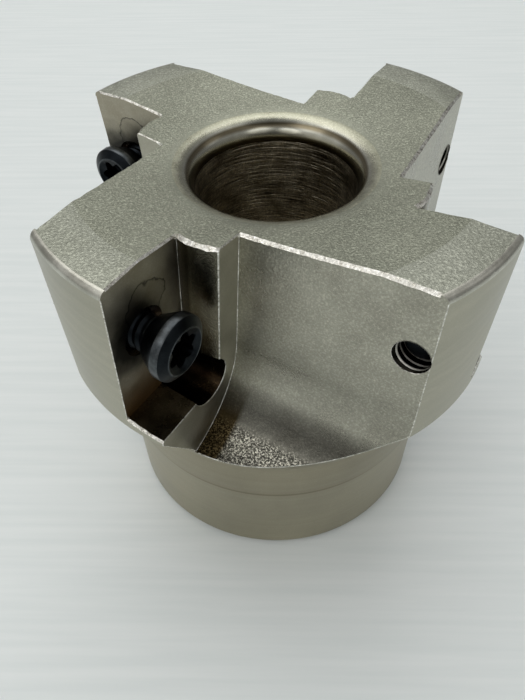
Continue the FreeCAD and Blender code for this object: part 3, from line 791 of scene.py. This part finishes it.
for number in range(body["teeth"]):
    insertScrew = meshObject(f"insertScrew{number + 1}", lambda mesh: fillScrew(mesh, number),
                             [blackOxide, rubbedOxide])
    settle(insertScrew)
    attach(insertScrew, f"insert_screw_{number + 1}")
    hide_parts(f"insert_screw_{number + 1}")


# The table that the cutter stands on, pale laminate with a faint brushed grain

table = {"half": 600.0, "colour": "#e8edeb", "streak": "#e2e8e6"}


def fillTable(mesh):
    corners = [(-1, -1), (1, -1), (1, 1), (-1, 1)]
    mesh.faces.new([mesh.verts.new((x * table["half"], y * table["half"], -0.02)) for x, y in corners])


def laminate():
    material = bpy.data.materials.new("paleLaminate")
    material.use_nodes = True
    tree = material.node_tree
    tree.nodes.clear()
    place = addNode(tree, "ShaderNodeTexCoord")
    drawn = addNode(tree, "ShaderNodeMapping", {"Vector": place.outputs["Object"], "Scale": (40, 900, 1)})
    streaks = addNode(tree, "ShaderNodeTexNoise", {"Vector": drawn.outputs[0], "Scale": 1.0, "Detail": 3.0})
    tone = addNode(tree, "ShaderNodeValToRGB", {"Fac": streaks.outputs["Fac"]},
                   ramp=[(0.35, table["streak"]), (0.65, table["colour"])])
    surface = addNode(tree, "ShaderNodeBsdfPrincipled", {"Base Color": tone.outputs["Color"], "Roughness": 0.55})
    addNode(tree, "ShaderNodeOutputMaterial", {"Surface": surface.outputs[0]})
    return material


tableTop = meshObject("tableTop", fillTable, [laminate()])
tableTop.data.transform(Matrix.Scale(mm, 4))


# Soft studio light: a pale room with one large window of light behind and above the cutter

light = {
    "world": 0.85, "seenColour": "#dfe4e2",
    "windowPower": 1.3, "windowSize": 0.65, "windowPlace": (-0.08, 0.28, 0.56),
    # soft parts of the room: direction, where it starts and is full, and how much it brightens or dims
    "parts": [((0.05, -0.25, 0.97), 0.9, 0.97, -0.8), ((0.33, -0.79, 0.53), 0.95, 0.985, 3.5),
              ((0.84, 0.12, 0.53), 0.97, 0.99, 1.5), ((-0.25, -0.85, 0.45), 0.96, 0.985, 4.5),
              ((-0.5, -0.42, 0.77), 0.94, 0.985, 1.4),
              ((0.1, -1.0, 0.1), 0.75, 0.95, -0.7), ((-0.8, -0.36, 0.46), 0.8, 0.96, 1.1),
              ((0.75, 0.55, 0.3), 0.6, 0.95, -0.3)],
}

world = bpy.data.worlds.new("studio")
bpy.context.scene.world = world
world.use_nodes = True
tree = world.node_tree
tree.nodes.clear()
direction = addNode(tree, "ShaderNodeTexCoord")
height = addNode(tree, "ShaderNodeSeparateXYZ", {0: direction.outputs["Generated"]})
sky = addNode(tree, "ShaderNodeValToRGB", {"Fac": height.outputs["Z"]},
              ramp=[(0.0, 0.28), (0.35, 0.36), (0.7, 0.5), (0.9, 1.0), (1.0, 1.3)])
room = sky.outputs["Color"]
for way, start, full, gain in light["parts"]:
    near = addNode(tree, "ShaderNodeVectorMath", {0: direction.outputs["Generated"], 1: Vector(way).normalized()},
                   operation="DOT_PRODUCT")
    share = ranged(tree, near.outputs["Value"], start, full, 1.0, 1.0 + gain, interpolation_type="SMOOTHSTEP")
    room = multiplied(tree, room, share)
lit = addNode(tree, "ShaderNodeBackground", {"Color": room, "Strength": light["world"]})
seen = addNode(tree, "ShaderNodeBackground", {"Color": linearColour(light["seenColour"])})
lightPath = addNode(tree, "ShaderNodeLightPath")
backdrop = addNode(tree, "ShaderNodeMixShader", {0: lightPath.outputs["Is Camera Ray"], 1: lit.outputs[0],
                   2: seen.outputs[0]})
addNode(tree, "ShaderNodeOutputWorld", {"Surface": backdrop.outputs[0]})

window = bpy.data.lights.new("window", "AREA")
window.shape = "RECTANGLE"
window.size = light["windowSize"]
window.size_y = light["windowSize"] * 0.7
window.energy = light["windowPower"]
windowLamp = bpy.data.objects.new("window", window)
windowLamp.location = light["windowPlace"]
windowLamp.rotation_euler = (Vector((0, 0, 0.02)) - windowLamp.location).to_track_quat("-Z", "Y").to_euler()
bpy.context.scene.collection.objects.link(windowLamp)


# The camera, from the photograph's own perspective

shot = {"place": (0.0, -0.0478975, 0.0674106), "pan": -0.0315, "tilt": 0.8367, "roll": -0.0180, "lens": 31.23}

cosPan, sinPan = math.cos(shot["pan"]), math.sin(shot["pan"])
cosTilt, sinTilt = math.cos(shot["tilt"]), math.sin(shot["tilt"])
forward = Vector((sinPan * cosTilt, cosPan * cosTilt, -sinTilt))
level = forward.cross(Vector((0, 0, 1))).normalized()
upright = level.cross(forward)
right = level * math.cos(shot["roll"]) + upright * math.sin(shot["roll"])
up = upright * math.cos(shot["roll"]) - level * math.sin(shot["roll"])
lens = bpy.data.cameras.new("camera")
lens.sensor_fit = "AUTO"
lens.sensor_width = 36
lens.lens = shot["lens"]
lens.clip_start = 0.005
camera = bpy.data.objects.new("camera", lens)
camera.matrix_world = Matrix((
    (right.x, up.x, -forward.x, shot["place"][0]),
    (right.y, up.y, -forward.y, shot["place"][1]),
    (right.z, up.z, -forward.z, shot["place"][2]),
    (0, 0, 0, 1)))
bpy.context.scene.collection.objects.link(camera)
bpy.context.scene.camera = camera
bpy.context.scene.view_settings.view_transform = "Standard"
